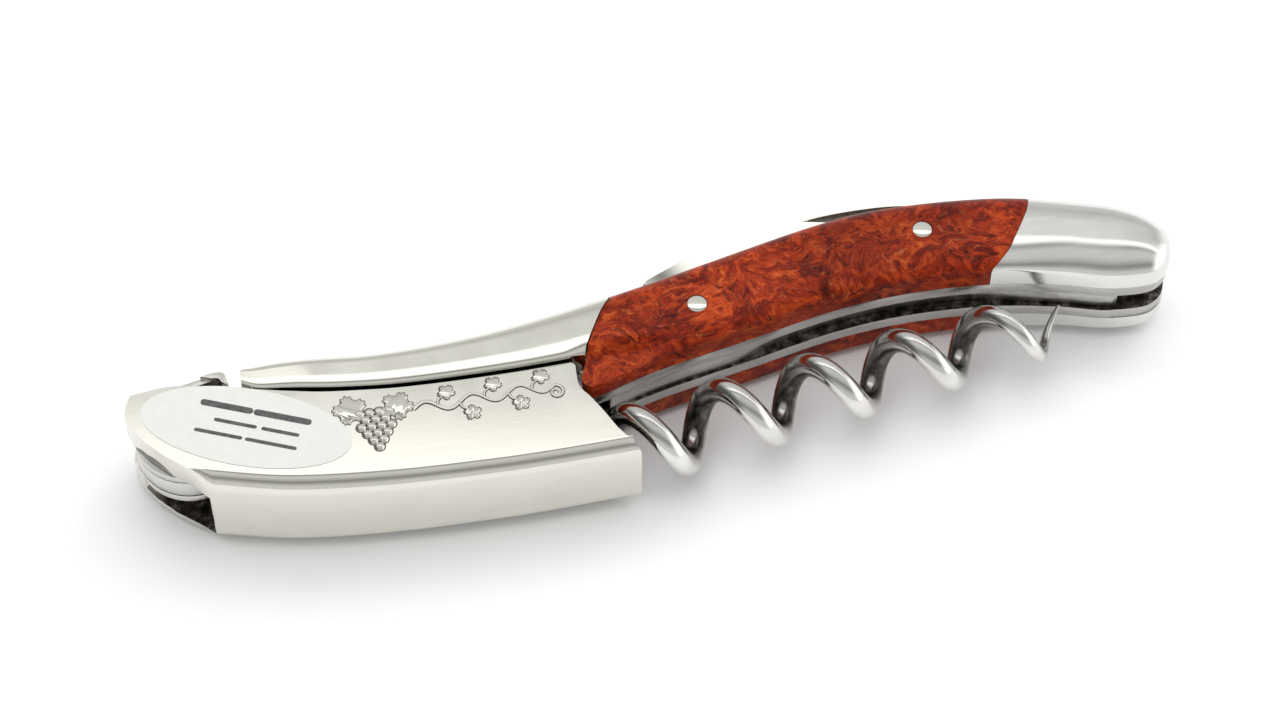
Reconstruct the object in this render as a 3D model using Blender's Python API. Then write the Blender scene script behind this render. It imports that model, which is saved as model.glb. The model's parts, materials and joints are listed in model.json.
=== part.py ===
"""Waiter's corkscrew, closed: two-jaw style folding lever, worm and foil knife in a pinned handle.

Design coordinates are millimetres: X runs along the handle to the butt, Y from the belly to the back,
Z is measured from the mid-plane between the two liners. add_object() moves them to metres, resting on Z = 0.
"""

import math

import bmesh
import bpy
import numpy as np

# Where the design's zero lies: the box of the whole object is centred on X and Y and rests on Z = 0.
SHIFT_X = -2.41
SHIFT_Y = -0.22
HALF_THICKNESS = 7.10

# Layers, as half distances from the mid-plane.
CENTRE_HALF = 1.30
BLADE_HALF = 1.05
LINER_INNER = 1.50
LINER_OUTER = 2.95
LINER_MILLED = 2.40
SCALE_INNER = 3.15
EDGE_RISE = 0.50
MIDDLE_SWELL = 0.45
NOSE_THINNING = 0.75
LEVER_INNER = 2.70
LEVER_OUTER = 5.60
LEVER_FLARE = 0.65
LEVER_POCKET = 5.50
LABEL_INNER = 5.66
LABEL_OUTER = 5.78

# Pivots and pins.
LEVER_PIVOT = (-53.0, -2.0)
WORM_PIVOT = (-11.5, -8.0)
BLADE_PIVOT = (56.5, 4.5)
SCALE_PIN_FRONT = (7.1, 1.85)
SCALE_PIN_REAR = (35.4, 7.6)
BOLSTER_PIN_1 = (-38.0, 1.2)
BOLSTER_PIN_2 = (-16.0, 0.9)
SCALE_PIN_RADIUS = 1.18
SCALE_PIN_HALF = 7.02
BOLSTER_PIN_RADIUS = 1.00
LEVER_PIN_HALF = 6.10
PIVOT_PIN_RADIUS = 1.60
PIN_CLEARANCE = 0.27

# Lever.
NOSE_RADIUS = 6.95
LEVER_WEB = 2.00
WEB_ROUND = 1.70
WEB_END_X = -51.7
TANG_RADIUS = 6.40

# Worm.
WORM_PITCH = 11.15
WORM_TURNS = 4.97
WORM_START = -4.05
WORM_SLOPE = math.radians(8.9)
WORM_AXIS_Y = -11.37
WORM_RADIUS_ROOT = 3.80
WORM_RADIUS_TIP = 2.85
WORM_LAST_BELLY = 0.45
WORM_TIP_REACH = 0.50
WORM_TIP_DRAW = 0.20
WIRE_RADIUS = 1.42
ROOT_RADIUS = 1.20
EYE_RADIUS = 3.00

# Spring and foil knife.
SPRING_RECESS = 0.30
SPRING_GROOVE = 0.90
SPRING_RISE = 0.65
BLADE_TANG_RADIUS = 3.15
BLADE_EDGE_Y = 9.30
TOOTH_COUNT = 31
TOOTH_PITCH = 1.45
TOOTH_DEPTH = 0.35

# Outlines of the handle, left to right.
BACK = [(-47.5, 3.8), (-42.7, 4.05), (-37.0, 3.65), (-30.2, 3.1), (-19.4, 3.5), (-8.6, 4.9), (0.9, 6.6), (9.3, 8.5),
        (19.6, 10.9), (25.4, 12.0), (31.2, 12.6), (40.0, 12.3), (49.2, 11.1), (56.7, 9.0), (60.8, 7.1), (63.2, 5.3),
        (64.4, 4.0), (64.75, 2.9)]
BELLY = [(-8.5, -6.5), (-5.9, -6.2), (1.3, -4.0), (12.7, -1.6), (23.7, 0.7), (33.0, 1.5), (42.6, 1.0),
         (50.5, -0.5), (56.0, -2.1), (60.5, -2.5), (62.6, -1.8), (63.9, -0.2), (64.75, 2.9)]
BOLSTER_BELLY = [(-46.3, 1.2), (-44.6, 0.2), (-41.7, -0.5), (-37.4, -1.4), (-33.0, -2.0), (-28.7, -2.4),
                 (-22.8, -2.6), (-14.8, -2.6), (-6.0, -2.3)]
WOOD_FRONT = [(-6.5, -6.8), (-5.0, -7.8), (-2.4, -6.9), (-0.8, -6.3), (2.9, -4.3), (5.4, -2.6), (7.2, -1.6)]
WOOD_REAR = [(0.6, 42.0), (1.5, 43.3), (2.7, 44.6), (3.9, 45.5), (8.6, 48.4), (11.5, 49.3)]

# Outline of the lever, from the nose along the handle to the bottle seat and back along the web.
LEVER_TOP = [(-59.0, 1.5), (-54.0, 1.9), (-47.7, 0.5), (-44.6, -0.2), (-41.7, -0.9), (-37.4, -1.8), (-33.0, -2.35),
             (-28.7, -2.75), (-22.8, -2.95), (-14.8, -2.95), (-8.6, -2.75)]
LEVER_SEAT = [(-8.2, -3.2), (-8.25, -6.0), (-7.2, -7.9), (-6.1, -10.0), (-4.9, -12.6)]
LEVER_WEB_LINE = [(-2.7, -15.6), (-12.3, -15.85), (-19.3, -15.85), (-30.9, -15.4), (-42.4, -14.1), (-51.7, -11.7)]
LEVER_DIAGONAL = [(-53.1, -9.1), (-55.4, -7.0), (-57.5, -4.8), (-59.2, -2.7)]


def smooth(points, steps):
    """A smooth curve through the points."""
    points = [np.array(point, float) for point in points]
    line = []
    for index in range(len(points) - 1):
        start = points[index]
        end = points[index + 1]
        before = points[index - 1] if index else 2 * start - end
        after = points[index + 2] if index + 2 < len(points) else 2 * end - start
        for step in range(steps):
            t = step / steps
            line.append(0.5 * (2 * start + (end - before) * t + (2 * before - 5 * start + 4 * end - after) * t * t
                               + (3 * start - before - 3 * end + after) * t ** 3))
    line.append(points[-1])
    return np.array(line)


def arc(centre, radius, first, last, steps):
    angles = np.radians(np.linspace(first, last, steps + 1))
    return np.column_stack([centre[0] + radius * np.cos(angles), centre[1] + radius * np.sin(angles)])


BACK_LINE = smooth(BACK, 6)
BELLY_LINE = smooth(BELLY, 6)
BOLSTER_BELLY_LINE = smooth(BOLSTER_BELLY, 6)
WEB_LINE = smooth(LEVER_WEB_LINE, 5)


def at(line, x):
    order = np.argsort(line[:, 0])
    return np.interp(x, line[order, 0], line[order, 1])


def clear_scene():
    for thing in list(bpy.data.objects):
        bpy.data.objects.remove(thing, do_unlink=True)


def material(name, colour, metallic, roughness, coat=0.0):
    made = bpy.data.materials.new(name)
    made.use_nodes = True
    shader = made.node_tree.nodes["Principled BSDF"]
    shader.inputs["Base Color"].default_value = (*colour, 1.0)
    shader.inputs["Metallic"].default_value = metallic
    shader.inputs["Roughness"].default_value = roughness
    shader.inputs["Coat Weight"].default_value = coat
    made.diffuse_color = (*colour, 1.0)
    return made


def add_object(name, points, faces, origin, made, round_faces=True):
    """A mesh object from design millimetres, with its origin at the given design point."""
    mesh = bpy.data.meshes.new(name)
    points = (np.array(points, float) - np.array(origin, float)) / 1000
    mesh.from_pydata([tuple(point) for point in points], [], [tuple(int(i) for i in face) for face in faces])
    work = bmesh.new()
    work.from_mesh(mesh)
    bmesh.ops.remove_doubles(work, verts=work.verts, dist=1e-6)
    bmesh.ops.recalc_face_normals(work, faces=work.faces)
    work.to_mesh(mesh)
    work.free()
    thing = bpy.data.objects.new(name, mesh)
    thing.location = ((origin[0] + SHIFT_X) / 1000, (origin[1] + SHIFT_Y) / 1000, (origin[2] + HALF_THICKNESS) / 1000)
    bpy.context.scene.collection.objects.link(thing)
    if made is None:
        thing.hide_render = True
        thing.display_type = "WIRE"
        return thing
    mesh.materials.append(made)
    if round_faces:
        mesh.shade_smooth()
        mesh.set_sharp_from_angle(angle=math.radians(35))
    return thing


def prism(outline_levels):
    """Points and faces of a solid stacked from outlines of equal length, each a list of (x, y) with its z."""
    points = []
    count = len(outline_levels[0][0])
    for outline, z in outline_levels:
        points += [(x, y, z) for x, y in outline]
    faces = [list(range(count))[::-1], list(range(len(points) - count, len(points)))]
    for level in range(len(outline_levels) - 1):
        low = level * count
        for index in range(count):
            beside = (index + 1) % count
            faces.append([low + index, low + beside, low + count + beside, low + count + index])
    return points, faces


def plate(name, outline, low, high, made, origin=(0.0, 0.0, 0.0)):
    points, faces = prism([(outline, low), (outline, high)])
    return add_object(name, points, faces, origin, made)


def cylinder(name, centre, radius, low, high, made, steps=24, ends=0.0):
    """A pin or a round cutter. ends is the height of its domed ends."""
    levels = [(radius, low), (radius, high)]
    if ends:
        levels = [(0.55 * radius, low), (0.9 * radius, low + 0.4 * ends), (radius, low + ends),
                  (radius, high - ends), (0.9 * radius, high - 0.4 * ends), (0.55 * radius, high)]
    outlines = [(arc(centre, size, 0, 360 - 360 / steps, steps - 1), z) for size, z in levels]
    points, faces = prism(outlines)
    return add_object(name, points, faces, (centre[0], centre[1], 0.0), made)


def cut(thing, cutter):
    change = thing.modifiers.new(cutter.name, "BOOLEAN")
    change.operation = "DIFFERENCE"
    change.solver = "EXACT"
    change.object = cutter


# Domed side pieces ---------------------------------------------------------------------------------------------

ACROSS = [-1.0, -0.97, -0.9, -0.77, -0.55, -0.28, 0.0, 0.28, 0.55, 0.77, 0.9, 0.97, 1.0]


def ease(value):
    value = np.clip(value, 0.0, 1.0)
    return value * value * (3 - 2 * value)


def dome_height(across, x, y, kind):
    """Height of a side piece above its inner face. across runs from -1 at the belly to 1 at the back."""
    full = HALF_THICKNESS - SCALE_INNER - MIDDLE_SWELL * (1 - ease((x + 14.0) / 24.0))
    full -= NOSE_THINNING * (1 - ease((x + 47.0) / 9.0))
    steep = 0.60 - 0.22 * ease((x - 44.0) / 10.0)
    if kind == "butt":
        full = EDGE_RISE + (full - EDGE_RISE) * math.sqrt(max(0.0, 1 - max(0.0, (x - 56.6) / 8.15) ** 3.2))
    wall = steep * full
    if across >= 0:
        wall = EDGE_RISE + (0.8 * steep * full - EDGE_RISE) * ease((x + 30.0) / 30.0)
    wall = min(wall, full)
    bend = math.sqrt(max(0.0, 1 - abs(across) ** 2.6))
    height = wall + (full - wall) * min(1.0, bend / 0.981)
    if kind == "wood":
        reach = 1 - ease((x + 1.0) / 7.0)
        level = 2.35 + 1.3 * ease((y + 2.6) / 1.7)
        height = min(height, level * reach + full * (1 - reach))
    return height


def side_piece(name, kind, columns, side, made):
    """A bolster or a scale: a grid between the belly and back lines, domed outwards on the given side."""
    belly = BOLSTER_BELLY_LINE if kind == "front" else BELLY_LINE
    points = []
    for s in np.linspace(0.0, 1.0, columns + 1):
        for across in ACROSS:
            t = (across + 1) / 2
            if kind == "front":
                left = -46.35 + 0.1 * t
                guess = -2.3 + 8.2 * t
                right = float(np.interp(guess, [p[0] for p in WOOD_FRONT], [p[1] for p in WOOD_FRONT])) - 0.1
            elif kind == "wood":
                guess = -6.4 + 12.6 * t
                left = float(np.interp(guess, [p[0] for p in WOOD_FRONT], [p[1] for p in WOOD_FRONT])) + 0.1
                guess = 0.8 + 10.4 * t
                right = float(np.interp(guess, [p[0] for p in WOOD_REAR], [p[1] for p in WOOD_REAR])) - 0.1
            else:
                guess = 0.8 + 10.4 * t
                left = float(np.interp(guess, [p[0] for p in WOOD_REAR], [p[1] for p in WOOD_REAR])) + 0.1
                right = 64.75
            spread = math.sin(s * math.pi / 2) if kind == "butt" else s
            x = left + (right - left) * spread
            low = float(at(belly, x))
            high = float(at(BACK_LINE, x))
            y = low + (high - low) * t
            points.append((x, y, SCALE_INNER + dome_height(across, x, y, kind)))
    rows = len(ACROSS)
    total = len(points)
    points += [(x, y, SCALE_INNER) for x, y, z in points]
    faces = []
    for column in range(columns):
        for row in range(rows - 1):
            corner = column * rows + row
            faces.append([corner, corner + rows, corner + rows + 1, corner + 1])
    rim = [column * rows for column in range(columns)]
    rim += [columns * rows + row for row in range(rows - 1)]
    rim += [column * rows + rows - 1 for column in range(columns, 0, -1)]
    rim += list(range(rows - 1, 0, -1))
    if kind == "butt":
        rim = [column * rows for column in range(columns + 1)]
        rim += [column * rows + rows - 1 for column in range(columns - 1, 0, -1)]
        rim += list(range(rows - 1, 0, -1))
        last = columns * rows
        collapse = {last + row: last for row in range(rows)}
        faces = [[collapse.get(i, i) for i in face] for face in faces]
        faces = [list(dict.fromkeys(face)) for face in faces]
        faces = [face for face in faces if len(face) > 2]
    for index, start in enumerate(rim):
        end = rim[(index + 1) % len(rim)]
        faces.append([start, start + total, end + total, end])
    faces.append([index + total for index in rim])
    used = sorted({index for face in faces for index in face})
    where = {index: place for place, index in enumerate(used)}
    points = [(points[i][0], points[i][1], side * points[i][2]) for i in used]
    faces = [[where[index] for index in face] for face in faces]
    return add_object(name, points, faces, (0.0, 0.0, 0.0), made)


# Flat pieces ---------------------------------------------------------------------------------------------------

def claw_and_tang():
    """From the belly side of the tang, round the nose, out to the crown-cap claw and back to the handle."""
    tang = arc(LEVER_PIVOT, TANG_RADIUS, -40, -250, 22)
    claw = smooth([(-54.1, 4.4), (-52.3, 4.75), (-50.6, 5.1), (-49.1, 5.3), (-48.2, 4.9), (-47.9, 3.4)], 3)
    notch = smooth([(-49.0, 2.9), (-50.6, 2.7), (-51.2, 2.1), (-50.4, 1.3), (-48.6, 1.15), (-46.3, 1.35)], 3)
    return np.vstack([tang, claw, notch])


def liner_outline():
    back = np.array([(x, float(at(BACK_LINE, x)) - 0.15) for x in np.linspace(-46.1, 56.0, 34)])
    butt = BACK_LINE[BACK_LINE[:, 0] > 56.5] - np.array([0.15, 0.15])
    belly_end = BELLY_LINE[(BELLY_LINE[:, 0] > 57.0) & (BELLY_LINE[:, 0] < 64.6)][::-1] + np.array([-0.15, 0.1])
    belly = np.array([(x, float(at(BELLY_LINE, x))) for x in np.linspace(56.5, -4.5, 24)])
    lobe = arc(WORM_PIVOT, 3.2, 20, -196, 16)
    front = np.array([(-16.5, -6.6), (-30.0, -6.6), (-42.0, -6.6), (-47.0, -6.5)])
    return np.vstack([claw_and_tang(), back, butt, belly_end, belly, lobe, front])


def spacer_outline():
    back = np.array([(x, float(at(BACK_LINE, x)) - 0.15) for x in np.linspace(-46.1, -1.2, 14)])
    front = np.array([(-1.2, 1.4), (-5.0, -1.2), (-10.0, -2.6), (-16.0, -3.4), (-17.5, -6.6), (-30.0, -6.6),
                      (-42.0, -6.6), (-47.0, -6.5)])
    return np.vstack([claw_and_tang(), back, front])


def spring_recess(x):
    """How far the spring lies inside the liners' belly line: a groove that deepens along the middle."""
    return SPRING_RECESS + SPRING_GROOVE * ease((x - 10.0) / 9.0) - SPRING_RISE * ease((x - 38.0) / 12.0)


def spring_outline():
    front = np.array([(-4.9, -1.9), (-0.85, 1.0), (-0.85, 4.6)])
    top = smooth([(1.0, 5.6), (8.0, 6.0), (16.0, 5.4), (26.0, 5.9), (35.0, 5.9), (42.0, 4.8), (48.0, 2.8),
                  (52.0, 1.3), (55.8, 1.05), (57.3, 0.6)], 4)
    end = np.array([(57.7, -0.3)])
    belly = np.array([(x, float(at(BELLY_LINE, x)) + spring_recess(x)) for x in np.linspace(57.5, -4.6, 31)])
    return np.vstack([front, top, end, belly])


def lever_outline(drop):
    """The lever's outline with its web line drawn in by the given amount."""
    nose = arc(LEVER_PIVOT, NOSE_RADIUS, 176, 150, 4)
    web = np.column_stack([WEB_LINE[:, 0], WEB_LINE[:, 1] + drop])
    web[0, 0] -= 0.8 * drop
    return np.vstack([nose, smooth(LEVER_TOP, 3)[1:], smooth(LEVER_SEAT, 3), web, LEVER_DIAGONAL])


def flared(points):
    """The lever's outer faces, spread apart evenly from its worm end to its nose."""
    moved = []
    for x, y, z in points:
        depth = min(1.0, max(0.0, (abs(z) - LEVER_INNER) / (LEVER_OUTER - LEVER_INNER)))
        share = (LEVER_WEB_LINE[0][0] - x) / (LEVER_WEB_LINE[0][0] - LEVER_PIVOT[0])
        moved.append((x, y, z + math.copysign(LEVER_FLARE * depth * share, z)))
    return moved


def blade_outline():
    spine = smooth([(1.3, 9.1), (2.5, 10.3), (5.0, 11.5), (9.9, 13.5), (17.4, 15.4), (23.7, 16.3), (30.0, 16.65),
                    (36.1, 16.3), (44.0, 14.6), (50.0, 12.2), (53.4, 10.4), (55.0, 8.4), (55.8, 7.6)], 3)
    tang = arc(BLADE_PIVOT, BLADE_TANG_RADIUS, 90, -150, 18)
    choil = smooth([(52.6, 3.9), (50.6, 5.6), (49.6, 7.7)], 3)
    points = []
    for index in range(TOOTH_COUNT):
        x = 48.6 - index * TOOTH_PITCH
        low = BLADE_EDGE_Y - 0.8 * ease((12.0 - x) / 10.0)
        points += [(x, low + TOOTH_DEPTH), (x - 0.5 * TOOTH_PITCH, low)]
    return np.vstack([spine, tang, choil, points])


def build_handle(steel, grey, wood):
    outline = liner_outline()
    liners = {}
    for name, side in (("near", 1), ("far", -1)):
        low, high = sorted((side * LINER_INNER, side * LINER_OUTER))
        liner = plate("liner_" + name, outline, low, high, grey)
        liners[name] = liner
        mill = np.vstack([[(-75.0, -30.0), (-6.0, -30.0), (-8.0, -8.0), (-7.9, -5.4), (-7.4, -2.9)],
                          BOLSTER_BELLY_LINE[BOLSTER_BELLY_LINE[:, 0] < -7.6][::-1],
                          [(-46.6, 1.4), (-75.0, 1.4)]])
        low, high = sorted((side * LINER_MILLED, side * 4.0))
        cut(liner, plate("cut_mill_" + name, mill, low, high, None))
        cut(liner, cylinder("cut_nose_" + name, LEVER_PIVOT, 7.3, low, high, None, steps=40))
    spacer = plate("front_spacer", spacer_outline(), -CENTRE_HALF, CENTRE_HALF, grey)
    spring = plate("blade_spring", spring_outline(), -CENTRE_HALF, CENTRE_HALF, steel)

    sides = {}
    for name, side in (("near", 1), ("far", -1)):
        sides["front", name] = side_piece("front_bolster_" + name, "front", 15, side, steel)
        sides["wood", name] = side_piece("scale_" + name, "wood", 18, side, wood)
        sides["butt", name] = side_piece("butt_bolster_" + name, "butt", 12, side, steel)

    def hole(name, centre, radius, half, *things):
        cutter = cylinder("cut_" + name, centre, radius + PIN_CLEARANCE, -half, half, None)
        for thing in things:
            cut(thing, cutter)

    near, far = liners["near"], liners["far"]
    hole("scale_pin_front", SCALE_PIN_FRONT, SCALE_PIN_RADIUS, 9.0, near, far, spring,
         sides["wood", "near"], sides["wood", "far"])
    hole("scale_pin_rear", SCALE_PIN_REAR, SCALE_PIN_RADIUS, 9.0, near, far,
         sides["wood", "near"], sides["wood", "far"])
    hole("bolster_pin_1", BOLSTER_PIN_1, BOLSTER_PIN_RADIUS, 5.2, near, far, spacer,
         sides["front", "near"], sides["front", "far"])
    hole("bolster_pin_2", BOLSTER_PIN_2, BOLSTER_PIN_RADIUS, 5.2, near, far, spacer,
         sides["front", "near"], sides["front", "far"])
    hole("blade_pin", BLADE_PIVOT, PIVOT_PIN_RADIUS, 5.0, near, far, sides["butt", "near"], sides["butt", "far"])
    hole("lever_pin", LEVER_PIVOT, PIVOT_PIN_RADIUS, 9.0, near, far, spacer)
    hole("worm_pin", WORM_PIVOT, PIVOT_PIN_RADIUS, 9.0, near, far)


def build_pins(steel):
    cylinder("scale_pin_front", SCALE_PIN_FRONT, SCALE_PIN_RADIUS, -SCALE_PIN_HALF, SCALE_PIN_HALF, steel, ends=0.25)
    cylinder("scale_pin_rear", SCALE_PIN_REAR, SCALE_PIN_RADIUS, -SCALE_PIN_HALF, SCALE_PIN_HALF, steel, ends=0.25)
    cylinder("bolster_pin_1", BOLSTER_PIN_1, BOLSTER_PIN_RADIUS, -4.9, 4.9, steel)
    cylinder("bolster_pin_2", BOLSTER_PIN_2, BOLSTER_PIN_RADIUS, -4.9, 4.9, steel)
    cylinder("blade_pin", BLADE_PIVOT, PIVOT_PIN_RADIUS, -4.7, 4.7, steel)
    cylinder("lever_pin", LEVER_PIVOT, PIVOT_PIN_RADIUS, -LEVER_PIN_HALF, LEVER_PIN_HALF, steel)
    cylinder("worm_pin", WORM_PIVOT, PIVOT_PIN_RADIUS, -2.35, 2.35, steel)


def build_lever(steel, white):
    origin = (LEVER_PIVOT[0], LEVER_PIVOT[1], 0.0)
    levels = []
    for angle in (90, 60, 35, 15, 0):
        z = LEVER_OUTER - WEB_ROUND + WEB_ROUND * math.sin(math.radians(angle))
        levels.append((-z, WEB_ROUND * (1 - math.cos(math.radians(angle)))))
    levels += [(-z, drop) for z, drop in levels[::-1]]
    points, faces = prism([(lever_outline(drop), z) for z, drop in levels])
    lever = add_object("lever", flared(points), faces, origin, steel)
    inside = WEB_LINE[WEB_LINE[:, 0] > WEB_END_X + 0.3] + np.array([0.0, LEVER_WEB])
    channel = np.vstack([[(-75.0, 12.0), (-75.0, -25.0), (WEB_END_X, -25.0), (WEB_END_X, -11.7 + LEVER_WEB)],
                         inside[::-1], [(8.0, -13.6), (8.0, 12.0)]])
    cut(lever, plate("cut_lever_channel", channel, -LEVER_INNER, LEVER_INNER, None, origin))
    pocket = [(-75.0, -3.5), (WEB_END_X - 0.05, -3.5), (WEB_END_X - 0.05, -25.0), (-75.0, -25.0)][::-1]
    cut(lever, plate("cut_lever_pocket", np.array(pocket), -LEVER_POCKET, 0.5 - LEVER_INNER, None, origin))
    cut(lever, cylinder("cut_lever_pin", LEVER_PIVOT, PIVOT_PIN_RADIUS + PIN_CLEARANCE, -9.0, 9.0, None))
    angles = np.radians(np.arange(0, 360, 10))
    turn = math.radians(-21.5)
    long_way = 12.3 * np.cos(angles)
    short_way = 5.2 * np.sin(angles)
    oval = np.column_stack([-46.5 + long_way * math.cos(turn) - short_way * math.sin(turn),
                            -5.15 + long_way * math.sin(turn) + short_way * math.cos(turn)])
    points, faces = prism([(oval, LABEL_INNER), (oval, LABEL_OUTER)])
    add_object("label", flared(points), faces, origin, white)


def worm_path():
    """Centre line of the worm's wire and its radius, from the eye to the point."""
    along = np.array([math.cos(WORM_SLOPE), math.sin(WORM_SLOPE)])
    across = np.array([-along[1], along[0]])
    helix = []
    sizes = []
    for turn in np.arange(0.04, WORM_TURNS + 1e-9, 1 / 16):
        angle = 2 * math.pi * turn
        tip = ease((turn - WORM_TURNS + 0.35) / 0.35)
        radius = WORM_RADIUS_ROOT + (WORM_RADIUS_TIP - WORM_RADIUS_ROOT) * turn / WORM_TURNS - WORM_TIP_DRAW * tip
        radius += WORM_LAST_BELLY * ease((turn - 4.1) / 0.35) * (1 - ease((turn - 4.6) / 0.3))
        distance = WORM_START + WORM_PITCH * turn + WORM_TIP_REACH * tip
        spot = np.array([0.0, WORM_AXIS_Y]) + distance * along + radius * math.cos(angle) * across
        helix.append((spot[0], spot[1], radius * math.sin(angle)))
        sizes.append(WIRE_RADIUS * min(1.0, 0.12 + 0.88 * ((WORM_TURNS - turn) / 0.95) ** 0.8))
    root = smooth([(-9.6, -8.0, 0.0), (-8.0, -8.0, 0.0), (-6.9, -8.05, -0.45), (-5.8, -8.15, -1.25),
                   (-4.85, -8.15, -0.6), helix[0]], 3)[:-1]
    path = np.vstack([root, helix])
    return path, np.array(np.linspace(ROOT_RADIUS, WIRE_RADIUS, len(root)).tolist() + sizes)


def build_worm(steel):
    origin = (WORM_PIVOT[0], WORM_PIVOT[1], 0.0)
    path, sizes = worm_path()
    sides = 10
    points = []
    faces = []
    normal = np.array([0.0, 1.0, 0.0])
    for index, spot in enumerate(path):
        ahead = path[min(index + 1, len(path) - 1)] - path[max(index - 1, 0)]
        ahead /= np.linalg.norm(ahead)
        normal = normal - ahead * normal.dot(ahead)
        normal /= np.linalg.norm(normal)
        other = np.cross(ahead, normal)
        for step in range(sides):
            angle = 2 * math.pi * step / sides
            points.append(spot + sizes[index] * (math.cos(angle) * normal + math.sin(angle) * other))
    for index in range(len(path) - 1):
        for step in range(sides):
            beside = (step + 1) % sides
            faces.append([index * sides + step, index * sides + beside, (index + 1) * sides + beside,
                          (index + 1) * sides + step])
    faces.append(list(range(sides))[::-1])
    faces.append(list(range(len(points) - sides, len(points))))
    worm = add_object("worm", points, faces, origin, steel)
    eye = cylinder("cut_join_eye", WORM_PIVOT, EYE_RADIUS, -1.22, 1.22, None, steps=28)
    join = worm.modifiers.new("eye", "BOOLEAN")
    join.operation = "UNION"
    join.solver = "EXACT"
    join.object = eye
    cut(worm, cylinder("cut_eye", WORM_PIVOT, PIVOT_PIN_RADIUS + PIN_CLEARANCE, -5.0, 5.0, None))


def build_blade(steel):
    origin = (BLADE_PIVOT[0], BLADE_PIVOT[1], 0.0)
    blade = plate("blade", blade_outline(), -BLADE_HALF, BLADE_HALF, steel, origin)
    cut(blade, cylinder("cut_blade_pin", BLADE_PIVOT, PIVOT_PIN_RADIUS + PIN_CLEARANCE, -5.0, 5.0, None))


def main():
    clear_scene()
    steel = material("polished_steel", (0.72, 0.70, 0.66), 1.0, 0.14)
    grey = material("satin_steel", (0.42, 0.41, 0.39), 1.0, 0.38)
    wood = material("burl_wood", (0.30, 0.075, 0.022), 0.0, 0.28, 0.6)
    white = material("white_label", (0.86, 0.86, 0.84), 0.0, 0.45)
    build_handle(steel, grey, wood)
    build_pins(steel)
    build_lever(steel, white)
    build_worm(steel)
    build_blade(steel)


main()
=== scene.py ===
"""Looks of the waiter's corkscrew: finished meshes, materials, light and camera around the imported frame.

Design coordinates are millimetres, as in the part: X along the handle to the butt, Y from the belly to
the back, Z from the mid-plane between the liners. ORIGIN is where the design's zero lies in the frame, in
metres.
"""

import json
import math

import bmesh
import bpy
import numpy as np
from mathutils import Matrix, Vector


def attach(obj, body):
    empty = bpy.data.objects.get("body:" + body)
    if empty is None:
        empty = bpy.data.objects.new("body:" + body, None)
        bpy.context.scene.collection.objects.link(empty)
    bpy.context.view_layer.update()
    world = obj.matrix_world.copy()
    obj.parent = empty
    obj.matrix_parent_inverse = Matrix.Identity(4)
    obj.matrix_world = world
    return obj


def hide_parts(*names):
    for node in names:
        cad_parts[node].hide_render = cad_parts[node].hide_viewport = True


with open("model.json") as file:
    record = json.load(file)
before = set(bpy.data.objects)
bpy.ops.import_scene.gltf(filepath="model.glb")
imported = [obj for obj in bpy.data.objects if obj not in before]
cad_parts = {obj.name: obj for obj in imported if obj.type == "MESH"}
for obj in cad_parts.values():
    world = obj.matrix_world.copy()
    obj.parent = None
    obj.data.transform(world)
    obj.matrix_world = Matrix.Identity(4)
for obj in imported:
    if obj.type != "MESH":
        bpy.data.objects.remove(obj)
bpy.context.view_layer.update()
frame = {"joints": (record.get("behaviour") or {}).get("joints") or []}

MM = 0.001

# Pivots, each an X and a Y.
LEVER_PIVOT = (-53.0, -2.0)
WORM_PIVOT = (-11.5, -8.0)
BLADE_PIVOT = (56.5, 4.5)
SCALE_PINS = {"front": (7.1, 1.85), "rear": (35.4, 7.6)}
SCALE_PIN_RADIUS = 1.18
PIVOT_BORE = 1.62

# The design's zero: the frame states where the lever's joint is, and LEVER_PIVOT where the design has it.
LEVER_JOINT = next(joint for joint in frame["joints"] if joint["name"] == "lever_swing")
ORIGIN = Vector(LEVER_JOINT["pos_m"]) - Vector((LEVER_PIVOT[0] * MM, LEVER_PIVOT[1] * MM, 0.0))
HALF_THICKNESS = ORIGIN.z / MM

# Layers of the handle, as half distances from the mid-plane.
CENTRE_HALF = 1.32
LINER_INNER = 1.42
LINER_OUTER = 2.97
LINER_MILLED = 2.40
SCALE_INNER = 2.99
SEAM = 0.035
THROUGH = 9.0

# Lever: half distances, the web's thickness and rounding, and the radii of its nose and of the tang within.
LEVER_INNER = 2.70
LEVER_OUTER = 5.60
LEVER_FLARE = 0.65
LEVER_POCKET = 5.50
LEVER_WEB = 1.70
WEB_ROUND = 1.70
WEB_END_X = -51.7
NOSE_RADIUS = 6.95
TANG_RADIUS = 6.40

# Worm: a slanting spiral of wire that swells once and tapers to a point, on a root and an eye.
WORM_PITCH = 11.15
WORM_TURNS = 4.97
WORM_START = -4.05
WORM_SLOPE = math.radians(8.9)
WORM_AXIS_Y = -11.37
WORM_RADIUS_ROOT = 3.80
WORM_RADIUS_TIP = 2.85
WORM_LAST_BELLY = 0.45
WORM_TIP_REACH = 0.50
WORM_TIP_DRAW = 0.20
WIRE_RADIUS = 1.42
ROOT_RADIUS = 1.20
EYE_RADIUS = 3.00
EYE_HALF = 1.28
EYE_BORE = 1.65

# Blade spring and foil knife.
SPRING_RECESS = 0.30
SPRING_GROOVE = 0.90
SPRING_RISE = 0.65
BLADE_HALF = 1.05
BLADE_TANG_RADIUS = 3.15
BLADE_TIP_X = 1.35
BLADE_NECK_X = 50.0
BLADE_EDGE_Y = 9.30
TOOTH_PITCH = 1.45
TOOTH_DEPTH = 0.35

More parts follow.
